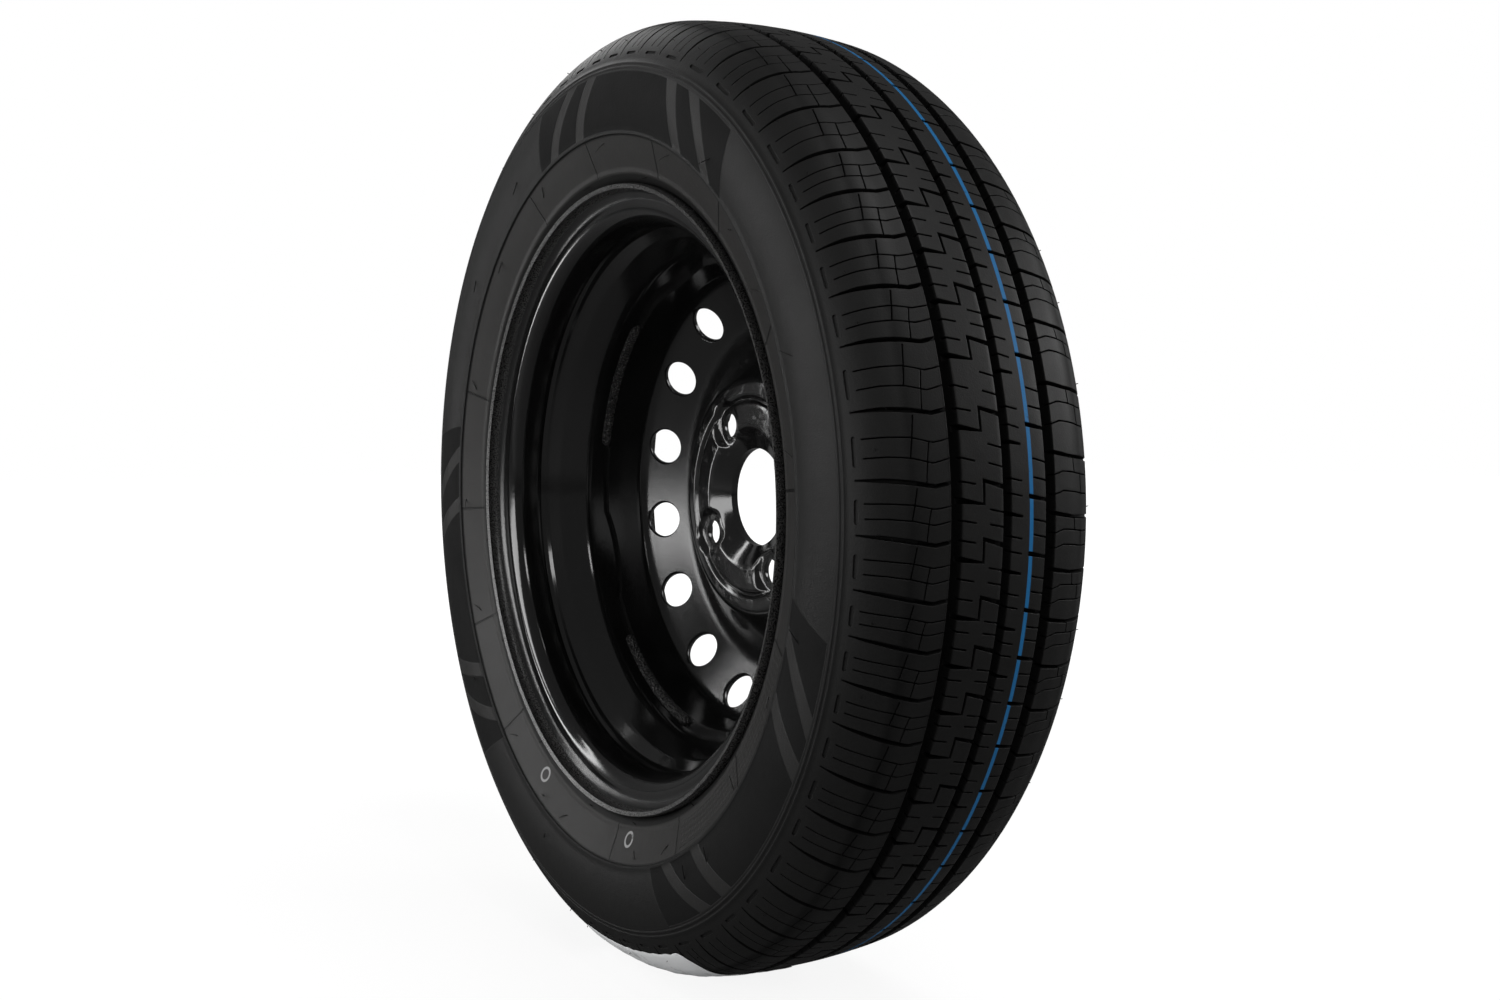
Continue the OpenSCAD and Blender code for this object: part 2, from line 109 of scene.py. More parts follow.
class Nodes:  # makes the nodes of one tree
    def __init__(self, tree):
        self.tree = tree

    def find(self, kind):
        return next(n for n in self.tree.nodes if n.type == kind)

    def put(self, socket, value):
        if isinstance(value, Wire):
            self.tree.links.new(value.socket, socket)
        else:
            socket.default_value = value

    def node(self, kind, settings={}, inputs={}, out=0):
        n = self.tree.nodes.new(kind)
        for key, value in settings.items():
            setattr(n, key, value)
        for key, value in inputs.items():
            self.put(n.inputs[key], value)
        if isinstance(out, (list, tuple)):
            return [Wire(self, n.outputs[k]) for k in out]
        return Wire(self, n.outputs[out])


class Finish(Nodes):  # one material
    def __init__(self, name):
        self.material = bpy.data.materials.new(name)
        self.material.use_nodes = True
        super().__init__(self.material.node_tree)
        self.shader = self.find("BSDF_PRINCIPLED")

    def spot(self):
        return self.node("ShaderNodeTexCoord", out="Object")

    def axes(self):
        return self.node("ShaderNodeSeparateXYZ", inputs={0: self.spot()}, out=("X", "Y", "Z"))

    def grain(self, scale, detail, rough):
        inputs = {"Vector": self.spot(), "Scale": scale, "Detail": detail, "Roughness": rough}
        return self.node("ShaderNodeTexNoise", {}, inputs)

    def blend(self, mask, a, b):
        return self.node("ShaderNodeMix", {"data_type": "RGBA"}, {0: mask, 6: a, 7: b}, out=2)

    def bump(self, height, distance, strength, under=None):
        inputs = {"Height": height, "Distance": distance, "Strength": strength}
        if under:
            inputs["Normal"] = under
        return self.node("ShaderNodeBump", {}, inputs)

    def done(self, **values):
        for key, value in values.items():
            self.put(self.shader.inputs[key.replace("_", " ")], value)
        return self.material


def grey(v, warm=0.0):
    return (v * (1 + warm), v, v * (1 - warm), 1.0)


# sections are drawn as axial distance and radius in mm
def arcLine(c, r, first, last, steps):
    turns = [radians(first + (last - first) * i / steps) for i in range(steps + 1)]
    return [(c[0] + r * sin(a), c[1] + r * cos(a)) for a in turns]


def flipped(line):  # the same line on the other side, run backwards
    return [(-y, r) for y, r in reversed(line)]


def bendAt(a, b, c, r, steps):  # an arc of radius r in place of corner b
    a, b, c = Vector(a), Vector(b), Vector(c)
    u, v = (a - b).normalized(), (c - b).normalized()
    half = acos(max(-1, min(1, u.dot(v)))) / 2
    m = b + (u + v).normalized() * r / sin(half)
    p, q = b + u * r / tan(half) - m, b + v * r / tan(half) - m
    return [tuple(m + (p * (steps - i) + q * i).normalized() * r) for i in range(steps + 1)]


def roundedLine(corners, steps):  # corners are (axial distance, radius, radius of the bend)
    made = []
    for i, (y, r, bend) in enumerate(corners):
        if i in (0, len(corners) - 1) or bend == 0:
            made.append((y, r))
        else:
            made += bendAt(corners[i - 1][:2], (y, r), corners[i + 1][:2], bend, steps)
    return made


def movedLine(line, t):  # the line moved sideways by t
    pts, made = [Vector(p) for p in line], []
    for i, p in enumerate(pts):
        sides = []
        for j, k in ((max(i - 1, 0), max(i, 1)), (min(i, len(pts) - 2), min(i + 1, len(pts) - 1))):
            d = (pts[k] - pts[j]).normalized()
            sides.append(Vector((-d.y, d.x)))
        made.append(tuple(p + (sides[0] + sides[1]) * t / (1 + sides[0].dot(sides[1]))))
    return made


def between(table, x):  # reads a value from a table of pairs, straight between its rows
    rows = sorted(table)
    if x <= rows[0][0]:
        return rows[0][1]
    for (a, p), (b, q) in zip(rows, rows[1:]):
        if x <= b:
            return p + (q - p) * (x - a) / (b - a) if b > a else q
    return rows[-1][1]


def spun(y, r, turn):  # a point at an axial distance and radius in mm, turned from +X towards +Z
    return Vector((r * mm * cos(turn), y * mm, r * mm * sin(turn)))


def smoothed(mesh, sharp):  # smooth faces, but for edges that turn by more than sharp degrees
    mesh.shade_smooth()
    mesh.set_sharp_from_angle(angle=radians(sharp))


def newPiece(name, mesh, finish, sharp=None):
    mesh.validate()
    if sharp:
        smoothed(mesh, sharp)
    piece = newObject(name, mesh)
    mesh.materials.clear()
    mesh.materials.append(finish)
    return piece


# what can be done to a mesh once its faces are there
def wholeOut(bm):
    if bm.calc_volume(signed=True) < 0:
        bmesh.ops.reverse_faces(bm, faces=bm.faces)


def eachOut(bm):
    bmesh.ops.recalc_face_normals(bm, faces=bm.faces)


def capsSplit(bm):
    bmesh.ops.triangulate(bm, faces=[f for f in bm.faces if len(f.verts) > 4])


def reworked(mesh, *jobs):
    bm = bmesh.new()
    bm.from_mesh(mesh)
    for job in jobs:
        job(bm)
    bm.to_mesh(mesh)
    bm.free()
    return mesh


def meshFrom(name, points, faces, jobs=(wholeOut, capsSplit)):
    mesh = bpy.data.meshes.new(name)
    mesh.from_pydata(points, [], faces)
    return reworked(mesh, *jobs)


# faces between rings of n points that start at k, and the lids of such a run
def skirt(k, n, ahead):
    return [(k + i, k + (i + 1) % n, k + ahead + (i + 1) % n, k + ahead + i) for i in range(n)]


def lids(low, high, n):
    return [tuple(range(low + n - 1, low - 1, -1)), tuple(range(high, high + n))]


def tube(k, n, rings):
    sides = [face for i in range(rings - 1) for face in skirt(k + i * n, n, n)]
    return sides + lids(k, k + (rings - 1) * n, n)


def turnedMesh(name, loop, steps, lift=None):  # a closed section turned round the axle
    n, points, faces = len(loop), [], []
    for i in range(steps):
        t = 2 * pi * i / steps
        for y, r in loop:
            points.append(spun(y + (lift(y, r, t) if lift else 0), r, t))
    for i in range(steps):
        faces += skirt(i * n, n, n if i < steps - 1 else -i * n)
    return meshFrom(name, points, faces)


# a node tree that cuts a shape out of the wheel, or sets it on the wheel, at every turn given
def aroundTree(name, cuts):
    tree = bpy.data.node_groups.new(name, "GeometryNodeTree")
    sockets = (("Geometry", "INPUT", "Geometry"), ("shape", "INPUT", "Object"), ("places", "INPUT", "Object"),
               ("finish", "INPUT", "Material"), ("Geometry", "OUTPUT", "Geometry"))
    for socket, way, kind in sockets:
        tree.interface.new_socket(socket, in_out=way, socket_type="NodeSocket" + kind)

    g = Nodes(tree)
    base, shape, places, finish = g.node("NodeGroupInput", out=("Geometry", "shape", "places", "finish"))
    shape = g.node("GeometryNodeObjectInfo", {}, {"Object": shape}, "Geometry")
    places = g.node("GeometryNodeObjectInfo", {}, {"Object": places}, "Geometry")
    turn = g.node("GeometryNodeInputNamedAttribute", {"data_type": "FLOAT"}, {"Name": "turn"})
    euler = g.node("ShaderNodeCombineXYZ", {}, {"Y": turn * -1})
    spin = g.node("FunctionNodeEulerToRotation", {}, {0: euler})
    copies = g.node("GeometryNodeInstanceOnPoints", {}, {"Points": places, "Instance": shape, "Rotation": spin})
    solid = g.node("GeometryNodeRealizeInstances", {}, {0: copies})
    if cuts:
        made = g.node("GeometryNodeMeshBoolean", {"operation": "DIFFERENCE", "solver": "MANIFOLD"}, {0: base, 1: solid})
    else:
        made = g.node("GeometryNodeJoinGeometry", {}, {0: base})
        g.put(made.socket.node.inputs[0], solid)  # a second link into the same socket
    whole = g.node("GeometryNodeRealizeInstances", {}, {0: made})
    painted = g.node("GeometryNodeSetMaterial", {}, {"Geometry": whole, "Material": finish})
    g.put(tree.nodes.new("NodeGroupOutput").inputs[0], painted)
    return tree


cutTree = aroundTree("cutRoundTheWheel", True)
setTree = aroundTree("setRoundTheWheel", False)


def placesMesh(name, turns):  # one point for each copy; its turn is read by the node tree
    mesh = bpy.data.meshes.new(name)
    mesh.from_pydata([(0, 0, 0)] * len(turns), [], [])
    mesh.attributes.new("turn", "FLOAT", "POINT").data.foreach_set("value", turns)
    return mesh


def aroundOn(piece, tree, jobs, finish):  # each job is a mesh and the turns it is set at, in degrees
    helpers = []
    for i, (mesh, turns) in enumerate(jobs):
        name = mesh.name + "Places"
        shape = newObject(mesh.name + "Shape", mesh)
        places = newObject(name, placesMesh(name, [radians(t) for t in turns]))
        helpers += [shape, places]
        mod = piece.modifiers.new("round%d" % i, "NODES")
        mod.node_group = tree
        for item in tree.interface.items_tree:
            value = {"shape": shape, "places": places, "finish": finish}.get(item.name)
            if item.item_type == "SOCKET" and item.in_out == "INPUT" and value:
                mod[item.identifier] = value
    bpy.context.view_layer.update()
    deps = bpy.context.evaluated_depsgraph_get()
    mesh = bpy.data.meshes.new_from_object(piece.evaluated_get(deps))
    piece.modifiers.clear()
    old = piece.data
    piece.data = mesh
    bpy.data.meshes.remove(old)
    for o in helpers:
        bpy.data.objects.remove(o)


def finished(piece, sharp):  # a mesh that was cut has lost its smooth faces
    smoothed(piece.data, sharp)
    print(piece.name, "has", sum(len(p.vertices) - 2 for p in piece.data.polygons), "triangles")
    return piece


tyre = {
    "radius": 275.0, "halfWidth": 74.3, "widestRadius": 226.7, "crownRadius": 320.0, "treadHalf": 38.0,
    "shoulderRadius": 40.0, "sideRadius": 60.0, "sideThick": 7.0, "shoulderThick": 9.5, "crownThick": 11.5,
    "ringGrooves": ((-28.0, 1.5), (0.0, 0.0), (28.0, 1.5)), "ringWidth": 5.0, "grooveDepth": 7.0,
    "crossWidth": 3.4, "notchWidth": 2.6, "sipe": 0.72, "ribSipe": 0.9, "barDepth": 0.8, "barAngle": 61.6,
    "barWidth": 2.0, "barLength": 0.45, "bars": ((-1, 0.6), (1, 1.28)), "grooveEase": (0.15, 0.35, 0.25),
    "cutTop": 285.0, "notchFloor": 6.0, "ribSipeFloor": 270.6, "alongFloors": (265.2, 266.4, 266.4, 264.5),
    "flangeFace": 50.8, "roll": 9.5, "rollRadius": 172.5, "rollRoom": 0.12,
    "firstPitch": 40.5, "pitchShift": 0.68, "pitchHead": 4.0, "pitchRest": 22.0, "around": 228, "sharp": 32,
    # pitches in order round the tyre: their length in units, and how many follow each other
    "pitches": ((8, 4), (10, 2), (8, 2), (7, 3), (8, 3), (10, 2), (8, 1), (10, 1), (8, 2), (7, 4), (8, 2), (10, 3),
                (8, 3), (7, 3), (8, 2), (10, 2), (8, 2), (7, 4), (8, 2), (10, 3), (8, 3), (7, 4), (8, 2), (10, 4)),
    # points as (axial distance, radius), ridges as (radius, height)
    "lowerWall": ((72.3, 212.0), (71.98, 210.1), (69.6, 203.6), (66.6, 196.2), (63.6, 189.0), (61.2, 184.2),
                  (58.63, 181.95)),
    "ridges": ((247.2, 0), (246.6, 0.4), (246.0, 0.4), (245.5, 0), (244.7, 0), (244.2, 0.4), (243.6, 0.4), (243.0, 0),
               (210.2, 0), (209.4, 0.5), (208.2, 0.55), (207.5, -0.25), (206.2, -0.3), (189.5, -0.3), (188.4, 0.25),
               (187.2, 0.25), (186.4, 0)),
    "wallRadii": (251.5, 249.2, 240, 236, 231, 226.7, 222, 217, 213, 203, 200, 197, 194, 191, 184.6, 183),
    "bead": [(50.68, 172), (50.6, 169.4), (49.6, 166.9), (47.6, 165.3), (45, 164.85), (37.5, 164.2), (37.9, 168.7),
             (44, 176.7), (56.5, 191.7)],
    # away from the wall of a ring groove, and up from its floor
    "ringCorner": ((0.7, 0.9), (1.0, 0.3), (1.6, 0.0)),
    # floor radius of the cross grooves and fine cuts, at a distance from the middle
    "grooveFloor": ((0, 267.4), (46, 267.4), (69.93, 248.96), (95, 248.96)),
    "sipeFloor": ((0, 270.3), (38, 268.3), (60, 256.5), (66.5, 254.6)),
}

crownMiddle = tyre["radius"] - tyre["crownRadius"]
crownEnd = degrees(asin(tyre["treadHalf"] / tyre["crownRadius"]))
reach = tyre["crownRadius"] - tyre["shoulderRadius"]
shoulderMiddle = (reach * sin(radians(crownEnd)), crownMiddle + reach * cos(radians(crownEnd)))
sideMiddle = (tyre["halfWidth"] - tyre["sideRadius"], tyre["widestRadius"])
rollMiddle = (tyre["flangeFace"] + tyre["roll"], tyre["rollRadius"])


def crownAt(y):
    return crownMiddle + sqrt(tyre["crownRadius"] ** 2 - y * y)


def treadLine():  # the crown from left to right, with its three ring grooves
    w, d, line = tyre["ringWidth"] / 2, tyre["grooveDepth"], []
    clear, land, soft = 0.8, 0.7, 0.15  # free of points, strip beside the chamfer, rounding
    stations = [tyre["treadHalf"] * i / 8 for i in range(-8, 9)]
    for middle, chamfer in tyre["ringGrooves"]:
        a, b, floor = middle - w, middle + w, crownAt(middle) - d
        stations = [y for y in stations if y < a - chamfer - clear or y > b + clear]
        line.append((a - chamfer - land, crownAt(a - chamfer - land)))
        if chamfer:
            line += [(a - chamfer, crownAt(a) - 0.05), (a - chamfer * 0.1, crownAt(a) - chamfer)]
        line.append((a, crownAt(a) - chamfer - 0.25))
        for x, up in tyre["ringCorner"]:
            line += [(a + x, floor + up), (b - x, floor + up)]
        line += [(b - 0.05, crownAt(b) - soft), (b + soft, crownAt(b)), (b + clear, crownAt(b + clear))]
    return sorted([(y, crownAt(y)) for y in stations] + line)


def sideLine():  # from the shoulder down to the bead, with the raised ring lines
    base = arcLine(shoulderMiddle, tyre["shoulderRadius"], crownEnd, 74, 90)
    base += arcLine(sideMiddle, tyre["sideRadius"], 77, 106, 40)
    lower, ridges = tyre["lowerWall"], tyre["ridges"]
    for i in range(1, len(lower) - 2):  # a smooth curve through the points of the lower wall
        p0, p1, p2, p3 = (Vector(lower[k]) for k in (i - 1, i, i + 1, i + 2))
        for s in (j / 6 for j in range(1, 7)):
            base.append(tuple(0.5 * (2 * p1 + (p2 - p0) * s + (2 * p0 - 5 * p1 + 4 * p2 - p3) * s * s
                                     + (3 * p1 - p0 - 3 * p2 + p3) * s ** 3)))
    base.append(lower[-1])
    table, step = [(r, y) for y, r in base], 0.4
    line = arcLine(shoulderMiddle, tyre["shoulderRadius"], crownEnd, 58, 13)[1:]
    for r in sorted(tyre["wallRadii"] + tuple(k for k, h in ridges), reverse=True):
        out = Vector((2 * step, between(table, r + step) - between(table, r - step))).normalized()
        h = between(ridges, r)
        line.append((between(table, r) + out.x * h, r - out.y * h))
    return line


def tyreLoop():
    t = tyre
    side = sideLine() + arcLine(rollMiddle, t["roll"] + t["rollRoom"], -10, -90, 8) + t["bead"]
    side += arcLine(sideMiddle, t["sideRadius"] - t["sideThick"], 106, 80, 5)
    side += arcLine(shoulderMiddle, t["shoulderRadius"] - t["shoulderThick"], 70, 20, 5)
    side += arcLine((0, crownMiddle), t["crownRadius"] - t["crownThick"], crownEnd, 1.5, 3)
    return treadLine() + side + flipped(side)


# cutters are drawn as axial distance and mm down from the pitch start, and wrapped round the tread
def wrapped(y, down, r):
    return spun(y, r, -down / crownAt(tyre["treadHalf"]))


class Cutters:  # closed shapes that are cut out of the tread together
    def __init__(self):
        self.points, self.faces = [], []

    def add(self, points, faces):
        self.points += points
        self.faces += faces

    def prism(self, outline, floor):  # any outline, cut straight down
        n, k = len(outline), len(self.points)
        points = [wrapped(y, down, r) for r in (floor, tyre["cutTop"]) for y, down in outline]
        self.add(points, lids(k, k + n, n) + skirt(k, n, n))

    def channel(self, stations):  # stations are (y, top from, top to, floor from, floor to, floor radius)
        points, top = [], tyre["cutTop"]
        for y, a, b, c, d, floor in stations:
            points += [wrapped(y, a, top), wrapped(y, b, top), wrapped(y, d, floor), wrapped(y, c, floor)]
        self.add(points, tube(len(self.points), 4, len(stations)))

    def line(self, path, width, floor):  # a narrow cut that follows a path
        pts, points, top = [Vector(p) for p in path], [], tyre["cutTop"]
        for i, p in enumerate(pts):
            d = (pts[min(i + 1, len(pts) - 1)] - pts[max(i - 1, 0)]).normalized()
            side = Vector((-d.y, d.x)) * width / 2
            for q, r in ((p + side, top), (p - side, top), (p - side, floor), (p + side, floor)):
                points.append(wrapped(q.x, q.y, r))
        self.add(points, tube(len(self.points), 4, len(pts)))

    def bar(self, side, middle, length):  # a shallow recess with round ends on the shoulder
        a, width = radians(tyre["barAngle"]), tyre["barWidth"]
        out, along = Vector((side * sin(a), cos(a))), Vector((side * cos(a), -sin(a)))
        spot = Vector((side * shoulderMiddle[0], shoulderMiddle[1])) + out * tyre["shoulderRadius"]
        ring = []
        for i in range(14):
            q = pi * (i % 7 / 6 + i // 7)
            straight = (length - width) / 2 * (1 if i < 7 else -1)
            ring.append((cos(q) * width / 2, sin(q) * width / 2 + straight))
        n, k, points = len(ring), len(self.points), []
        for h in (-tyre["barDepth"], 3.0):
            for x, u in ring:
                p = spot + out * h + along * x
                points.append(wrapped(p.x, middle + u, p.y))
        self.add(points, lids(k, k + n, n) + skirt(k, n, n))

    def mesh(self, name):  # every closed shape is turned outwards by itself
        return meshFrom(name, self.points, self.faces, (eachOut, capsSplit))


def shoulderGroove(cut, upper, lower, ramp, shift):  # a curved cross groove; its lower wall slopes by ramp
    stations, (over, under, foot) = [], tyre["grooveEase"]
    floorBend = copysign(tyre["grooveFloor"][1][0], upper[0][0])
    for y in sorted({p[0] for p in upper} | {p[0] for p in lower} | {floorBend}):
        a, b = between(upper, y) + shift, between(lower, y) + shift
        slope = ramp * min(1, (b - a) / tyre["crossWidth"])
        stations.append((y, a - over, b + under, a + foot, b - slope, between(tyre["grooveFloor"], abs(y))))
    cut.channel(stations)


def fineCut(cut, path, shift=0.0):  # a fine cut over the shoulder, along a path
    s = tyre["sipe"] / 2
    ends = [(y, u + shift - s, u + shift + s) for y, u in path]
    cut.channel([(y, a, b, a, b, between(tyre["sipeFloor"], abs(y))) for y, a, b in ends])


# the cuts of one pitch: distance from the middle, and mm down from the pitch start; the shoulder grooves have
# an upper line, a lower line and the ramp of the lower wall
cross, notch = tyre["crossWidth"], tyre["notchWidth"]
pitchCuts = {
    "left": (((-29, 1.6), (-39.5, 3.5), (-51, 1.3), (-60, 0.1), (-90, -0.2)),
             ((-29, cross + 1.4), (-38.9, cross + 3.8), (-45, cross + 3.1), (-57, cross + 1.2), (-66, cross),
              (-90, cross * 0.6)), 2.3),
    "right": (((29, -1), (42, 1.2), (60, 2), (90, 2.3)),
              ((29, cross * 0.6), (42, cross * 0.8 + 1.2), (60, cross + 1.7), (90, cross * 0.8 + 2)), 1.4),
    "notches": (((-28, 9.3), (-14.3, 12.4), (-14.3, 1.4), (0, 4.8), (0, notch + 4.8), (-12.9, notch + 1),
                 (-12.9, notch + 11), (-28, notch + 9.9)),
                ((0, 16.4), (9.3, 18.6), (9.3, notch * 0.5 + 18.5), (0, notch * 0.9 + 16.4)),
                ((13, 8.7), (28, 11.8), (28, notch * 0.6 + 11.8), (13, notch * 0.9 + 8.7))),
    "leftSipes": (((-66.4, 11.7), (-59, 11.9), (-49.7, 12.6), (-44, 13.8), (-40, 14.6), (-36, 14.1), (-29, 12.9)),
                  ((-66.2, 18.8), (-59, 18.8), (-49.8, 19.7), (-44, 20.9), (-40, 21.6), (-36, 20.9), (-29, 19.4))),
    "rightSipe": ((29, 2.0), (36.4, 0), (44, 0.6), (52, 1.6), (58, 1.7)), "rightSipesAt": (8.0, 15.0),
    "ribSipes": (((-29, 2.2), (-18, 4.0)), ((-29, 19.4), (-18, 21.2)), ((-10.5, 15.3), (-1, 17.0)),
                 ((-10.5, 21.9), (-1, 23.6)), ((1, 1.5), (9, 3.1)), ((1, 8.3), (9, 9.9)), ((16, 1.4), (27, 3.4)),
                 ((16, 20.4), (27, 22.4))),
}


def pitchCutters(name, pitch):
    head, shift, c = tyre["pitchHead"], pitch * tyre["pitchShift"], pitchCuts

    def fit(u):  # what lies between two grooves stretches with the pitch
        return head + (u - head) * (pitch - head) / tyre["pitchRest"] if u > head else u

    deep, across, along = Cutters(), Cutters(), Cutters()
    shoulderGroove(deep, *c["left"], 0)
    shoulderGroove(deep, *c["right"], shift)
    for outline in c["notches"]:
        deep.prism(outline, crownAt(14) - tyre["notchFloor"])
    for side, middle in tyre["bars"]:
        deep.bar(side, pitch * middle, pitch * tyre["barLength"])
    for path in c["leftSipes"]:
        fineCut(across, [(y, fit(u)) for y, u in path])
    for path in c["ribSipes"]:
        across.line([(y, fit(u)) for y, u in path], tyre["ribSipe"], tyre["ribSipeFloor"])
    for u in c["rightSipesAt"]:
        fineCut(across, c["rightSipe"], fit(u) + shift)
    alongPaths = (
        [(-48.0, 5.2), (-49.0, fit(12)), (-50.2, fit(19.6))],
        [(-41.8, fit(14.4)), (-42.8, fit(20)), (-43.7, pitch + 3.2)],
        [(44.0, shift + 3.0), (44.6, shift + fit(8.6))], [(50.0, shift + fit(8.6)), (50.6, shift + fit(16.6))],
    )
    for path, floor in zip(alongPaths, tyre["alongFloors"]):
        along.line(path, tyre["sipe"], floor)
    return deep.mesh(name + "Deep"), across.mesh(name + "Across"), along.mesh(name + "Along")


hairs = {
    "sides": 5, "steps": 4, "thick": 0.34, "tip": 0.2, "root": 0.5, "spread": 0.35, "seed": 7,
    # place in the section, lean, length, bend, and how many or at which turns
    "kinds": (
        ("edgeHair", (-61.5, 259.5), (-0.7, 0.7, 0.15), 3.4, (0.0, -0.6, 0.8), 38),
        ("edgeStub", (-57.0, 263.2), (-0.55, 0.83, -0.1), 2.2, (0.3, 0.0, -0.5), 34),
        ("farHair", (61.5, 259.5), (0.7, 0.7, -0.15), 3.2, (0.0, -0.5, 0.6), 34),
        ("wallHair", (-74.1, 222.0), (-0.3, -0.75, 0.55), 7.0, (-0.1, -1.2, 1.4),
         (53, 118, 141, 215, 252, 299, 306, 20, 345)),
        ("bandHair", (-69.5, 204.2), (-0.35, -0.45, 0.85), 8.0, (0.15, -1.6, -1.0),
         (66, 88, 133, 182, 247, 282, 317, 8, 32)),
        ("bandHairBack", (-68.0, 200.0), (-0.35, 0.35, -0.85), 7.5, (0.2, 1.2, 1.2),
         (113, 160, 204, 232, 256, 293, 334, 45)),
        ("footHair", (-61.6, 186.2), (-0.75, -0.3, 0.55), 4.2, (-0.2, -0.8, 0.6),
         (14, 38, 57, 76, 98, 122, 144, 171, 190, 212, 238, 262, 279, 301, 322, 348)),
    ),
}


def hairMesh(name, base, lean, length, bend):  # a thin vent hair of rubber, drawn where the turn is zero
    n, points = hairs["sides"], []
    root, bow = Vector((base[1], base[0], 0)), Vector((bend[1], bend[0], bend[2]))
    way = Vector((lean[1], lean[0], lean[2])).normalized()
    side = way.cross(Vector((0.3, 0.2, 1))).normalized()  # no hair leans along that one
    other = way.cross(side)
    for i in range(hairs["steps"] + 1):
        s = i / hairs["steps"]
        middle = root + way * (length * s - hairs["root"]) + bow * s * s
        r = hairs["thick"] + (hairs["tip"] - hairs["thick"]) * s
        for q in (2 * pi * k / n for k in range(n)):
            points.append((middle + (side * cos(q) + other * sin(q)) * r) * mm)
    return meshFrom(name, points, tube(0, n, hairs["steps"] + 1))


def hairJobs():
    jobs, pick = [], random.Random(hairs["seed"])
    for name, base, lean, length, bend, turns in hairs["kinds"]:
        if isinstance(turns, int):
            spread = hairs["spread"]
            turns = [360 * (i + pick.uniform(-spread, spread)) / turns for i in range(turns)]
        jobs.append((hairMesh(name, base, lean, length, bend), [float(t) for t in turns]))
    return jobs


def makeTyre(finish):
    piece = newPiece("tyreRubber", turnedMesh("tyreRubber", tyreLoop(), tyre["around"]), finish)
    unit = 360 / sum(k * n for k, n in tyre["pitches"])
    turns, at = {7: [], 8: [], 10: []}, 0
    for kind, count in tyre["pitches"]:
        for _ in range(count):
            turns[kind].append(tyre["firstPitch"] - at * unit)
            at += kind
    edge = crownAt(tyre["treadHalf"])
    kinds = {k: pitchCutters("pitch%d" % k, radians(k * unit) * edge) for k in turns}
    jobs = [(kinds[k][layer], turns[k]) for layer in range(3) for k in turns]
    aroundOn(piece, cutTree, jobs, finish)
    aroundOn(piece, setTree, hairJobs(), finish)
    return finished(piece, tyre["sharp"])


rubberLook = {
    "low": grey(0.0055, 0.02), "high": grey(0.009, 0.01), "wall": grey(0.0075, 0.02), "band": grey(0.023, 0.03),
    # the near-black grey(0.002) on the next line is painted shade, for the grooves and the fine parting lines
    "dark": grey(0.003), "strip": grey(0.016, 0.02), "sunkShade": grey(0.002), "hatchHighlight": grey(0.045, 0.02),
    "ring": grey(0.3), "line": (0.005, 0.115, 0.29, 1), "shine": 0.16, "edge": 0.0005,
    # where the marks on the rubber lie: metres from the axle or the middle, and degrees round it
    "sunkFrom": 0.2515, "sunkTop": 0.2741, "sunkHalf": 0.052, "crownBend": 1.6,
    "lineAt": 0.01458, "lineHalf": 0.00115, "lineFrom": 0.2738,
    "bandAt": (0.1868, 0.2068), "wallAt": (0.2098, 0.2418), "wallFoot": 0.21, "wallHeight": 0.031,
    "panelTurn": 79.0, "panelStep": 120.0, "panelHalf": 30.8, "panelLean": 3.0,
    "strips": ((16.1, 1.35), (25.6, 1.45)),
    "partTurn": 48.75, "partStep": 22.5, "partHalf": 0.17, "partBand": (0.187, 0.2075),
    "partLess": (138.75, -108.75), "hatchTurns": (-62.5, -20.0), "hatchBand": (0.1905, 0.2045), "hatchRows": 305.0,
    "rings": ((-81.6, 0.1943), (-115.5, 0.1948)), "ringRadius": 0.0041, "ringHalf": 0.00075, "ringUp": 1.08,
}


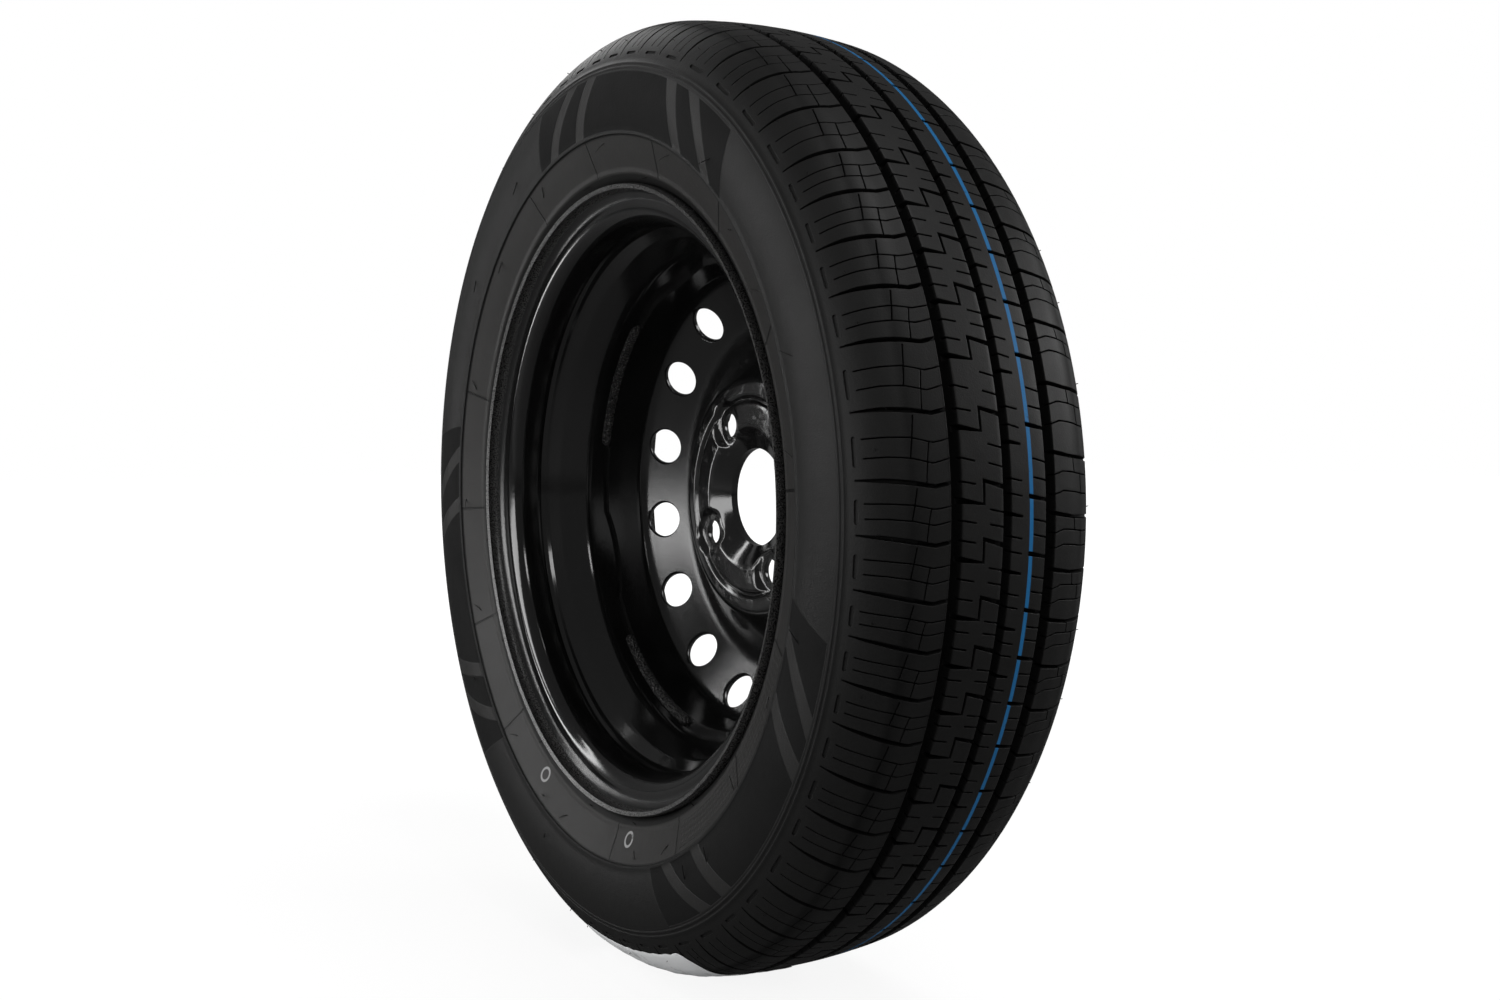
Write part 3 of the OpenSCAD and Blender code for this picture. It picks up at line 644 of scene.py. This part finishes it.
def rubberFinish():
    c = rubberLook
    f = Finish("tyreRubber")
    x, y, z = f.axes()
    radius = (x * x + z * z).root()
    turn = z.math("ARCTAN2", x) * degrees(1)
    flank, front = y.size(), y.below(0, 0.001)
    # painted shade: below the crown, the tread's grooves are coloured near-black where shade falls in them
    crown = (radius + flank * flank * c["crownBend"]).below(c["sunkTop"], 0.0012)
    sunkShade = radius.above(c["sunkFrom"], 0.002) * crown * flank.below(c["sunkHalf"], 0.003)
    cloud, fine, wear = f.grain(26, 4, 0.6), f.grain(1300, 2, 0.6), f.grain(140, 3, 0.6)
    line = y.near(c["lineAt"], c["lineHalf"], 0.0003) * radius.above(c["lineFrom"], 0.0004)
    line = line * wear.above(0.3, 0.15)
    band = radius.within(*c["bandAt"], 0.0005)
    wall = radius.within(*c["wallAt"], 0.0005)
    rise = (radius - c["wallFoot"]) / c["wallHeight"]
    # three dark panels on each side wall, each with two pairs of slanted strips
    third = turn.fromStep(c["panelTurn"], c["panelStep"]).size() * c["panelStep"]
    panel = (third + rise * c["panelLean"]).below(c["panelHalf"], 0.25) * wall
    steep = (third + rise * 4.6).near(*c["strips"][0], 0.25)
    strips = steep.either((third + rise * (7.4 + rise * 0.6)).near(*c["strips"][1], 0.25))
    dark = panel * (1 - strips)
    edge = dark * (1 - dark) * 4
    # fine lines that part the lower band, sunk by bump and painted dark as shade in them
    part = (turn.fromStep(c["partTurn"], c["partStep"]) * c["partStep"]).size().below(c["partHalf"], 0.08)
    for at in c["partLess"]:
        part = part * (1 - turn.near(at, 3, 0.1))
    part = part * radius.within(*c["partBand"], 0.0003)
    # a short hatched strip, its raised dashes given a painted highlight, and two plain rings on the front side wall
    rows = (radius * c["hatchRows"]).share().size().below(0.27, 0.1)
    dashes = (turn * 0.86 + radius * 260 + (fine - 0.5) * 0.5).share().size().below(0.3, 0.12)
    hatchHighlight = rows * dashes * turn.within(*c["hatchTurns"], 0.6) * radius.within(*c["hatchBand"], 0.0004) * front
    rings = 0
    for at, r in c["rings"]:
        across, up = (turn - at) * radians(r), (radius - r) * c["ringUp"]
        rings = rings + (across * across + up * up).root().near(c["ringRadius"], c["ringHalf"], 0.0004)
    rings = rings * front * wear.above(0.36, 0.12)
    colour = f.blend(cloud, c["low"], c["high"])
    layers = ((wall * 0.8, "wall"), (band * 0.85, "band"), (dark, "dark"), (panel * strips, "strip"),
              (hatchHighlight * 0.8, "hatchHighlight"), ((sunkShade * 0.7).either(part), "sunkShade"), (rings, "ring"), (line * 0.9, "line"))
    for mask, name in layers:
        colour = f.blend(mask, colour, c[name])
    rough = 0.5 + (cloud - 0.5) * 0.2 - band * 0.1 + dark * 0.25 + sunkShade * 0.15 - edge * 0.1
    height = dark * -0.25 - part * 1.3 + hatchHighlight * 0.9 + (fine - 0.5) * 0.12 + (wear - 0.5) * 0.14
    soft = f.node("ShaderNodeBevel", {"samples": 4}, {"Radius": c["edge"]})
    return f.done(Base_Color=colour, Roughness=rough, Normal=f.bump(height, 0.001, 0.8, soft),
                  Specular_IOR_Level=c["shine"])


rim = {
    "width": 101.6, "seat": 164.7, "roll": 9.5, "sheet": 2.5, "well": 145.0, "wellFrom": -5.2, "wellTo": 23.2,
    "hump": 0.9, "seatEnd": 15.2, "seatBend": 6.5, "wallStart": 4.6, "taper": tan(radians(5)),
    "lip": 25,
    "inboardWall": ((-20.0, 156.0, 9), (-26.4, 162.0, 5), (-29.4, 162.9, 4), (-32.4, 164.6, 2.5)),
    "valveUp": 9.2, "valveHole": 5.75, "around": 360, "sharp": 35,
}
disc = {
    "offset": 30.0, "sheet": 4.0, "edge": 8.2, "noseReach": 55.6, "noseRadius": 107.5, "noseBend": 14.0,
    "slope": 33.0, "hubSlope": 35.0, "fillet": 12.0, "hubRise": 0.4, "hubBend": 6.0, "hubTo": 72.0, "bore": 30.0,
    "bolts": 4, "boltRadius": 50.0, "boltHole": 7.25, "firstBolt": 118.5,
    "pocketDepth": 3.5, "pocketFlat": 11.2, "pocketOuter": 15.6,
    "handHoles": 16, "handHole": 11.5, "handCircle": 128.8, "handTurn": 3.1,
    "scallopDepth": 5.2, "scallopAngle": 23.4, "firstScallop": 197.7, "seatRoom": 0.05, "around": 384, "sharp": 30,
    # the raised ring and the hub face, as far as the bore: how far past the face, the radius, and the bend there
    "hubFace": ((0.4, 63, 2.2), (2, 61.1, 2.2), (2, 58.9, 2.2), (0, 57, 2.2), (0, 43.6, 5), (8.4, 30.6, 2.2),
                (9.4, 28.6, 0)),
}
weld = {
    "beads": 4, "first": 149.7, "angle": 37.0, "width": 5.0, "deep": 0.85, "gap": 0.06, "endPace": 22, "endLeast": 0.12,
    "ripples": 42, "ripple": 0.06, "uneven": 0.03, "around": 210, "sharp": 40,
    "section": ((0, 0), (-1.0, 0), (-0.96, 0.26), (-0.86, 0.46), (-0.7, 0.66), (-0.52, 0.82), (-0.35, 0.94),
                (-0.16, 1.0), (0, 1.0)),
}


def wellWall():  # the outboard wall of the well: its top and its foot
    out = rim["seatEnd"] + rim["wallStart"]
    top = (rim["width"] / 2 - out, rim["seat"] - out * rim["taper"] + rim["hump"])
    return top, (rim["wellTo"], rim["well"] + rim["sheet"])


def rimLine():
    r = rim
    face, near, flat = r["width"] / 2, r["seatEnd"] + 0.6, rollMiddle[1] - 1
    top, foot = wellWall()
    corners = [
        (face, flat, 0), (face, r["seat"], r["seatBend"]),
        (face - r["seatEnd"], r["seat"] - r["seatEnd"] * r["taper"], 12),
        (*top, 3.8), (*foot, 3), (r["wellFrom"], foot[1], 12), *r["inboardWall"],
        (near - face, r["seat"] - near * r["taper"], 3), (-face, r["seat"], r["seatBend"]), (-face, flat, 0),
    ]
    outer = arcLine(rollMiddle, r["roll"], r["lip"], -90, 12)
    inner = arcLine((-rollMiddle[0], rollMiddle[1]), r["roll"], 90, -r["lip"], 12)
    return outer + roundedLine(corners, 6) + inner


def discLine():
    d = disc
    half = d["sheet"] / 2
    face, outer = d["offset"] + half, rim["well"] - d["seatRoom"] - half
    slope, hub = radians(d["slope"]), radians(d["hubSlope"])
    lift = d["noseBend"] * (1 / cos((slope + hub) / 2) - 1) * cos((slope - hub) / 2)
    nose = (d["noseReach"] + lift, d["noseRadius"])
    step = face + d["hubRise"]
    corners = [(d["edge"], outer, 0), (nose[0] - (outer - nose[1]) * tan(slope), outer, d["fillet"]),
               (*nose, d["noseBend"]), (step, nose[1] - (nose[0] - step) / tan(hub), d["hubBend"])]
    corners += [(face + past, r, bend) for past, r, bend in d["hubFace"]]
    line = roundedLine(corners, 5)
    fine = []
    for a, b in zip(line, line[1:]):  # straight runs are split, so that the pockets can bend them
        steps = max(1, int(dist(a, b) / (1.5 if b[1] < d["hubTo"] else 6)))
        fine += [(a[0] + (b[0] - a[0]) * i / steps, a[1] + (b[1] - a[1]) * i / steps) for i in range(steps)]
    return fine + [line[-1]], nose


def smooth(x):
    x = max(0.0, min(1.0, x))
    return x * x * (3 - 2 * x)


def roundCutter(name, rings, place, lean, sides):  # rings of (height, radius) about an axis that leans from +Y
    points, a = [], radians(lean)
    for h, r in rings:
        for q in (2 * pi * i / sides for i in range(sides)):
            x, z = r * cos(q), r * sin(q)
            out, y = x * cos(a) + h * sin(a), h * cos(a) - x * sin(a)
            points.append(Vector((place[0] + out, place[1] + y, z)) * mm)
    return meshFrom(name, points, tube(0, sides, len(rings)))


def handHoleCutter(nose):  # with rounded edges on both sides of the sheet
    d = disc
    y = nose[0] - (d["handCircle"] - nose[1]) * tan(radians(d["slope"]))
    h, r = d["sheet"] / 2, d["handHole"]
    edge = ((-0.6, 1.5), (0.05, 0.55), (0.6, 0.1), (1.1, 0))  # how far into the sheet, and how much wider
    low = [(-12, r + 4)] + [(-h + into, r + wider) for into, wider in edge]
    rings = low + [(-h, r) for h, r in reversed(low)]
    return roundCutter("handHole", rings, (d["handCircle"], y), d["slope"], 40)


def scallopCutter():  # the edge of the disc bows inwards between two weld beads
    half = rim["well"] * sin(radians(disc["scallopAngle"] / 2))
    deep, through = disc["scallopDepth"], 12
    bow = (half * half - deep ** 2) / (2 * deep)
    rings = [(through, bow + deep), (-through, bow + deep)]
    return roundCutter("scallop", rings, (rim["well"], disc["edge"] - bow), -90, 120)


def makeRim(finish):
    line = rimLine()
    loop = line + list(reversed(movedLine(line, rim["sheet"])))
    piece = newPiece("rimSteel", turnedMesh("rimSteel", loop, rim["around"]), finish)
    top, foot = wellWall()
    lean = atan2(top[0] - foot[0], top[1] - foot[1])
    up, out, r = rim["valveUp"], rim["sheet"], rim["valveHole"]
    place = (foot[1] + up * cos(lean) - out * sin(lean),
             foot[0] + up * sin(lean) + out * cos(lean))
    hole = roundCutter("valveHole", [(-20, r), (10, r)], place, -degrees(lean), 48)
    aroundOn(piece, cutTree, [(hole, [disc["firstScallop"] - 90])], finish)
    return finished(piece, rim["sharp"])


def makeDisc(finish):
    d = disc
    line, nose = discLine()
    half = d["sheet"] / 2
    sides = movedLine(line, half), movedLine(line, -half)
    inboard = sides[0] if sides[0][len(line) // 2][0] < sides[1][len(line) // 2][0] else sides[1]
    hubSide = [(r, y) for y, r in inboard if r < d["hubTo"]]
    boltTurns = [d["firstBolt"] + i * 360 / d["bolts"] for i in range(d["bolts"])]
    boltsAt = [(d["boltRadius"] * cos(radians(t)), d["boltRadius"] * sin(radians(t)))
               for t in boltTurns]
    floor = d["offset"] + d["pocketDepth"]

    def pocket(y, r, t):  # the sheet is pressed outboard round each bolt hole
        if r > d["hubTo"]:
            return 0
        away = min(dist((r * cos(t), r * sin(t)), bolt) for bolt in boltsAt)
        gap = floor - between(hubSide, r)
        rise = (gap + sqrt(gap * gap + 1.0)) / 2 if away < d["pocketOuter"] else 0
        return rise * smooth((d["pocketOuter"] - away) / (d["pocketOuter"] - d["pocketFlat"]))

    loop = sides[0] + list(reversed(sides[1]))
    piece = newPiece("discSteel", turnedMesh("discSteel", loop, d["around"], pocket), finish)
    r, back = d["boltHole"], floor + d["sheet"]
    boltRings = [(-20, r + 0.5), (floor - 0.3, r + 0.5), (floor + 0.3, r), (back - 2.6, r), (back + 7, r + 5.5)]
    bolt = roundCutter("boltHole", boltRings, (d["boltRadius"], 0), 0, 40)
    bore = roundCutter("bore", [(-20, d["bore"]), (80, d["bore"])], (0, 0), 0, 180)
    handTurns = [d["firstBolt"] + d["handTurn"] + i * 360 / d["handHoles"] for i in range(d["handHoles"])]
    scallopTurns = [d["firstScallop"] + i * 90 for i in range(4)]
    jobs = [(handHoleCutter(nose), handTurns), (bolt, boltTurns), (bore, [0.0]), (scallopCutter(), scallopTurns)]
    aroundOn(piece, cutTree, jobs, finish)
    return finished(piece, d["sharp"])


def makeWelds(finish):  # four rippled beads between the edge of the disc and the well
    w = weld
    top, edge = rim["well"] - w["gap"], disc["edge"] - w["gap"]
    deep, n = top - rim["well"] + disc["sheet"] * w["deep"], len(w["section"])
    points, faces = [], []
    for b in range(w["beads"]):
        faces += tube(len(points), n, w["around"] + 1)
        for i in range(w["around"] + 1):
            s = i / w["around"]
            t = radians(w["first"] + b * 90 + w["angle"] * (s - 0.5))
            ends = min(1.0, sqrt(max(0.0, min(s, 1 - s)) * w["endPace"]) + w["endLeast"])
            wave = 1 - w["ripple"] * (1 - abs(sin(pi * w["ripples"] * s)))
            full = ends * (wave + w["uneven"] * noise.noise((s * 31, b * 7.0, 0)))
            for y, h in w["section"]:
                points.append(spun(edge + y * w["width"] * full, top - h * deep * full, t))
    return newPiece("weldBeads", meshFrom("weldBeads", points, faces, (eachOut,)), finish, w["sharp"])


paintLook = {
    # the light grey of the lip specks is a painted glint of the flange's orange-peel paint
    "low": grey(0.003), "high": grey(0.0055), "scuff": grey(0.05, 0.01), "lipGlintSpecks": grey(0.09, 0.02),
    "rough": 0.11, "shine": 0.65,
    "lipFrom": 0.1735, "glintSpecksFrom": 0.1785, "hub": (0.036, 0.069), "hubBelow": 0.0345,
    "slope": (0.09, 0.138), "slopeAbove": 0.012,
}


def paintFinish():
    c = paintLook
    f = Finish("blackPaint")
    x, y, z = f.axes()
    radius = (x * x + z * z).root()
    peel, dust, cloud = f.grain(230, 2, 0.5), f.grain(1700, 1, 0.5), f.grain(16, 3, 0.5)
    lip = radius.above(c["lipFrom"], 0.002)
    hub = radius.within(*c["hub"], 0.001) * y.below(c["hubBelow"], 0.001)
    scuff = f.grain(90, 5, 0.72).above(0.6, 0.1) * hub
    slope = radius.within(*c["slope"], 0.006) * y.above(c["slopeAbove"], 0.004)
    # painted glints: lighter, rougher specks on the flange lip stand in for light caught by its orange-peel paint
    speckle = lip * f.grain(1300, 3, 0.7).above(0.5, 0.14) * radius.above(c["glintSpecksFrom"], 0.0015)
    rough = c["rough"] + (cloud - 0.5) * 0.1 + lip * 0.1 + slope * 0.1 + scuff * 0.12 + speckle * 0.25
    height = (peel - 0.5) * (0.3 + 0.4 * lip) + (dust - 0.5) * (0.14 + lip * 0.5 + slope * 0.75) + scuff * 0.3
    colour = f.blend(scuff * 0.5, f.blend(cloud, c["low"], c["high"]), c["scuff"])
    return f.done(Base_Color=f.blend(speckle * 0.6, colour, c["lipGlintSpecks"]), Roughness=rough,
                  Normal=f.bump(height, 0.0002, 0.5), Specular_IOR_Level=c["shine"])


def weldFinish():
    f = Finish("paintedWeld")
    rough = f.grain(800, 3, 0.7)
    pits = f.node("ShaderNodeTexVoronoi", {}, {"Vector": f.spot(), "Scale": 700.0}, out="Distance")
    # painted glints: light grey specks stand in for light sparkling on the rough bead
    paintedSparkle = f.grain(1500, 1, 0.5).above(0.62, 0.06)
    height = rough * 0.8 + pits * 0.7
    colour = f.blend(rough, grey(0.002), grey(0.007, 0.02))
    return f.done(Base_Color=f.blend(paintedSparkle * 0.8, colour, grey(0.16, 0.02)), Roughness=0.3 + rough * 0.2,
                  Normal=f.bump(height, 0.0016, 1.0), Specular_IOR_Level=0.2)


label = {
    "first": -97.0, "last": -69.0, "left": -66.0, "right": 4.0, "lift": 0.4, "thick": 0.14, "uneven": 0.5,
    "corner": 9.0, "cornerPace": 4.6, "waves": ((0.35, 0.5, 0.12, 1), (0.2, 1.6, 0.3, 9)),
    "lowest": -0.27508, "lowestThick": 0.00004, "steps": 60, "rows": 34, "sharp": 40,
}


def skinAt(y):  # radius of the tread and shoulder, over the grooves
    y = abs(y)
    if y <= tyre["treadHalf"]:
        return crownAt(y)
    return shoulderMiddle[1] + sqrt(max(0, tyre["shoulderRadius"] ** 2 - (y - shoulderMiddle[0]) ** 2))


def makeLabel(finish):  # a bare paper label, stuck over the tread where the wheel stands
    c, points, faces = label, [], []
    n, span = c["rows"] + 1, c["last"] - c["first"]
    for layer in (1, 0):
        for i in range(c["steps"] + 1):
            s = i / c["steps"]
            t = c["first"] + span * s
            near = min(min(s, 1 - s) * span * c["cornerPace"], c["corner"])
            cut = c["corner"] - sqrt(max(0, c["corner"] ** 2 - (c["corner"] - near) ** 2))
            for j in range(n):
                low = c["left"] + cut * 1.1 + c["uneven"] * noise.noise((t * 0.6, 0, 4))
                y = low + (c["right"] - cut - low) * j / c["rows"]
                wave = sum(high * noise.noise((t * pace, y * step, at)) for high, pace, step, at in c["waves"])
                r = skinAt(y) + c["lift"] + wave + layer * c["thick"]
                p = spun(y, r, radians(t))
                p.z = max(p.z, c["lowest"] - layer * c["lowestThick"])
                points.append(p)
    half, last = (c["steps"] + 1) * n, c["steps"] * n
    for a in (i * n + j for i in range(c["steps"]) for j in range(c["rows"])):
        faces += [(a, a + 1, a + n + 1, a + n), (half + a, half + a + n, half + a + n + 1, half + a + 1)]
    border = list(range(n)) + list(range(2 * n - 1, last + n, n))
    border += list(range(last + n - 2, last - 1, -1)) + list(range(last - n, 0, -n))
    for a, b in zip(border, border[1:] + border[:1]):
        faces.append((b, a, half + a, half + b))
    return newPiece("paperLabel", meshFrom("paperLabel", points, faces), finish, c["sharp"])


def paperFinish():
    f = Finish("labelPaper")
    fibre, smudge = f.grain(1800, 3, 0.6), f.grain(85, 4, 0.7)
    stains = smudge.above(0.6, 0.12) * 0.5
    colour = f.blend(fibre, grey(0.62, -0.01), grey(0.74, -0.01))
    return f.done(Base_Color=f.blend(stains, colour, grey(0.2)), Roughness=0.62 + (fibre - 0.5) * 0.2,
                  Normal=f.bump(fibre * 0.4 + smudge * 0.6, 0.0003, 0.6), Specular_IOR_Level=0.3)


paint = paintFinish()
tyrePiece = makeTyre(rubberFinish())
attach(tyrePiece, "wheel")
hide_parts("tyre")
print("tyre made")
labelPiece = makeLabel(paperFinish())
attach(labelPiece, "wheel")
print("label made")
rimPiece = makeRim(paint)
discPiece = makeDisc(paint)
weldPiece = makeWelds(weldFinish())
for piece, node in ((rimPiece, "rim"), (discPiece, "disc"), (weldPiece, "weld_beads")):
    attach(piece, "wheel")
    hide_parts(node)
print("rim, disc and welds made")

brass, rubberGrey = (0.55, 0.36, 0.12, 1), grey(0.012)
valveLooks = (  # node, finish, its two colours, roughness, scale and depth of the grain, metal
    ("valve_body", "valveRubber", rubberGrey, grey(0.02), 0.55, 300, 0.0002, 0.0),
    ("valve_stem", "brass", brass, (0.68, 0.47, 0.19, 1), 0.28, 500, 0.00005, 1.0),
    ("valve_core_barrel", "brassCore", brass, (0.66, 0.46, 0.2, 1), 0.3, 700, 0.00003, 1.0),
    ("valve_core_ring", "sealRing", grey(0.55), grey(0.68), 0.4, 900, 0.00003, 0.0),
    ("valve_pin", "pinBrass", (0.6, 0.42, 0.18, 1), (0.72, 0.52, 0.26, 1), 0.25, 900, 0.00003, 1.0),
    ("valve_pin_seal", "sealRubber", rubberGrey, grey(0.022), 0.6, 700, 0.00004, 0.0),
    ("valve_cap", "capPlastic", grey(0.014), grey(0.022), 0.38, 400, 0.00006, 0.0),
    ("valve_cap_washer", "capWasher", grey(0.02), grey(0.035), 0.6, 500, 0.00005, 0.0),
)
spring = {"length": 10.45, "pressed": 9.55, "joined": 0.000002, "sharp": 60}


def plainFinish(name, low, high, rough, grainScale, depth, metal):
    f = Finish(name)
    g = f.grain(grainScale, 3, 0.55)
    return f.done(Base_Color=f.blend(g, low, high), Roughness=rough + (g - 0.5) * 0.15, Metallic=metal,
                  Normal=f.bump(g - 0.5, depth, 0.6))


def makeSpring(finish):  # the core spring again, as a piece of its own; the real spring shortens while the pin is pressed
    def joined(bm):
        bmesh.ops.remove_doubles(bm, verts=bm.verts, dist=spring["joined"])

    mesh = reworked(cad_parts["valve_spring"].data.copy(), joined)
    return newPiece("valveSpring", mesh, finish, spring["sharp"])


for node, *look in valveLooks:
    mesh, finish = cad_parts[node].data, plainFinish(*look)
    if not mesh.materials:
        mesh.materials.append(finish)
    for i in range(len(mesh.materials)):
        mesh.materials[i] = finish
springPiece = makeSpring(plainFinish("springSteel", grey(0.45), grey(0.6), 0.3, 900, 0.00003, 1.0))
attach(springPiece, "wheel")
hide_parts("valve_spring")
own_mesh(springPiece)
print("valve finished")


stage = {
    "floor": -0.275, "size": 9.0, "fadeFrom": 1.1, "fade": 0.9, "pale": grey(0.62), "mirrored": grey(0.02),
    "mirroredShare": 0.85, "rough": 0.9, "floorGlow": 1.18, "floorShare": 0.75, "floorGloss": 0.04,
    "sky": 0.18, "gloss": 0.15,
    "lamps": (  # name, place, size, watts
        ("keyLamp", (-0.36, -2.27, 0.3), (2.4, 0.62), 29),
        ("topLamp", (1.15, 0.2, 2.0), (0.9, 0.9), 24),
        ("smallLamp", (1.95, -0.52, 1.17), (0.5, 0.5), 5),
        ("backLamp", (-1.88, 0.16, 1.45), (0.7, 0.7), 8),
        ("stripLamp", (-1.76, -1.48, 0.45), (0.22, 2.8), 15),
        ("farLamp", (1.0, 2.1, 0.9), (1.5, 0.9), 24),
    ),
}


def makeFloor():  # white to the camera, lit by the lamps, and dark in the paint's reflections
    c = stage
    f = Finish("paleFloor")
    rays = f.node("ShaderNodeLightPath", out=("Is Camera Ray", "Is Glossy Ray", "Is Transmission Ray"))
    camera, gloss, clear = rays
    f.done(Base_Color=f.blend(gloss * c["mirroredShare"], c["pale"], c["mirrored"]), Roughness=c["rough"])
    x, y, z = f.axes()
    far = (x * x + y * y).root().above(c["fadeFrom"], c["fade"])
    glow = f.node("ShaderNodeEmission", {}, {"Color": (1, 1, 1, 1), "Strength": c["floorGlow"]})
    seen = camera.either(gloss * c["floorGloss"]).either(clear)
    share = c["floorShare"] + far * (1 - c["floorShare"])
    mix = f.node("ShaderNodeMixShader", {}, {0: seen * share, 1: Wire(f, f.shader.outputs[0]), 2: glow})
    f.put(f.find("OUTPUT_MATERIAL").inputs[0], mix)
    s, low = c["size"], c["floor"]
    mesh = meshFrom("floor", [(-s, -s, low), (s, -s, low), (s, s, low), (-s, s, low)], [(0, 1, 2, 3)])
    floor = newPiece("floor", mesh, f.material)


def makeWorld():  # white to the camera, dimmer as a light and in reflections
    world = bpy.data.worlds.new("studio")
    scene.world = world
    world.use_nodes = True
    sky, level = Nodes(world.node_tree), stage["sky"]
    rays = sky.node("ShaderNodeLightPath", out=("Is Glossy Ray", "Is Transmission Ray", "Is Camera Ray"))
    for ray, share in zip(rays, (stage["gloss"], 1.0, 1.0)):
        level = sky.node("ShaderNodeMix", {}, {0: ray, 2: level, 3: share})
    back = sky.find("BACKGROUND")
    sky.put(back.inputs["Strength"], level)
    sky.put(back.inputs["Color"], (1, 1, 1, 1))


def softLamp(name, place, size, power):
    data = bpy.data.lights.new(name, "AREA")
    data.shape, data.size, data.size_y, data.energy = "RECTANGLE", size[0], size[1], power
    lamp = newObject(name, data)
    lamp.location = place
    lamp.rotation_euler = Vector(place).to_track_quat("Z", "Y").to_euler()  # it shines at the wheel's centre


makeFloor()
makeWorld()
for lamp in stage["lamps"]:
    softLamp(*lamp)
print("stage and lamps set")

scene.view_settings.view_transform = "Standard"
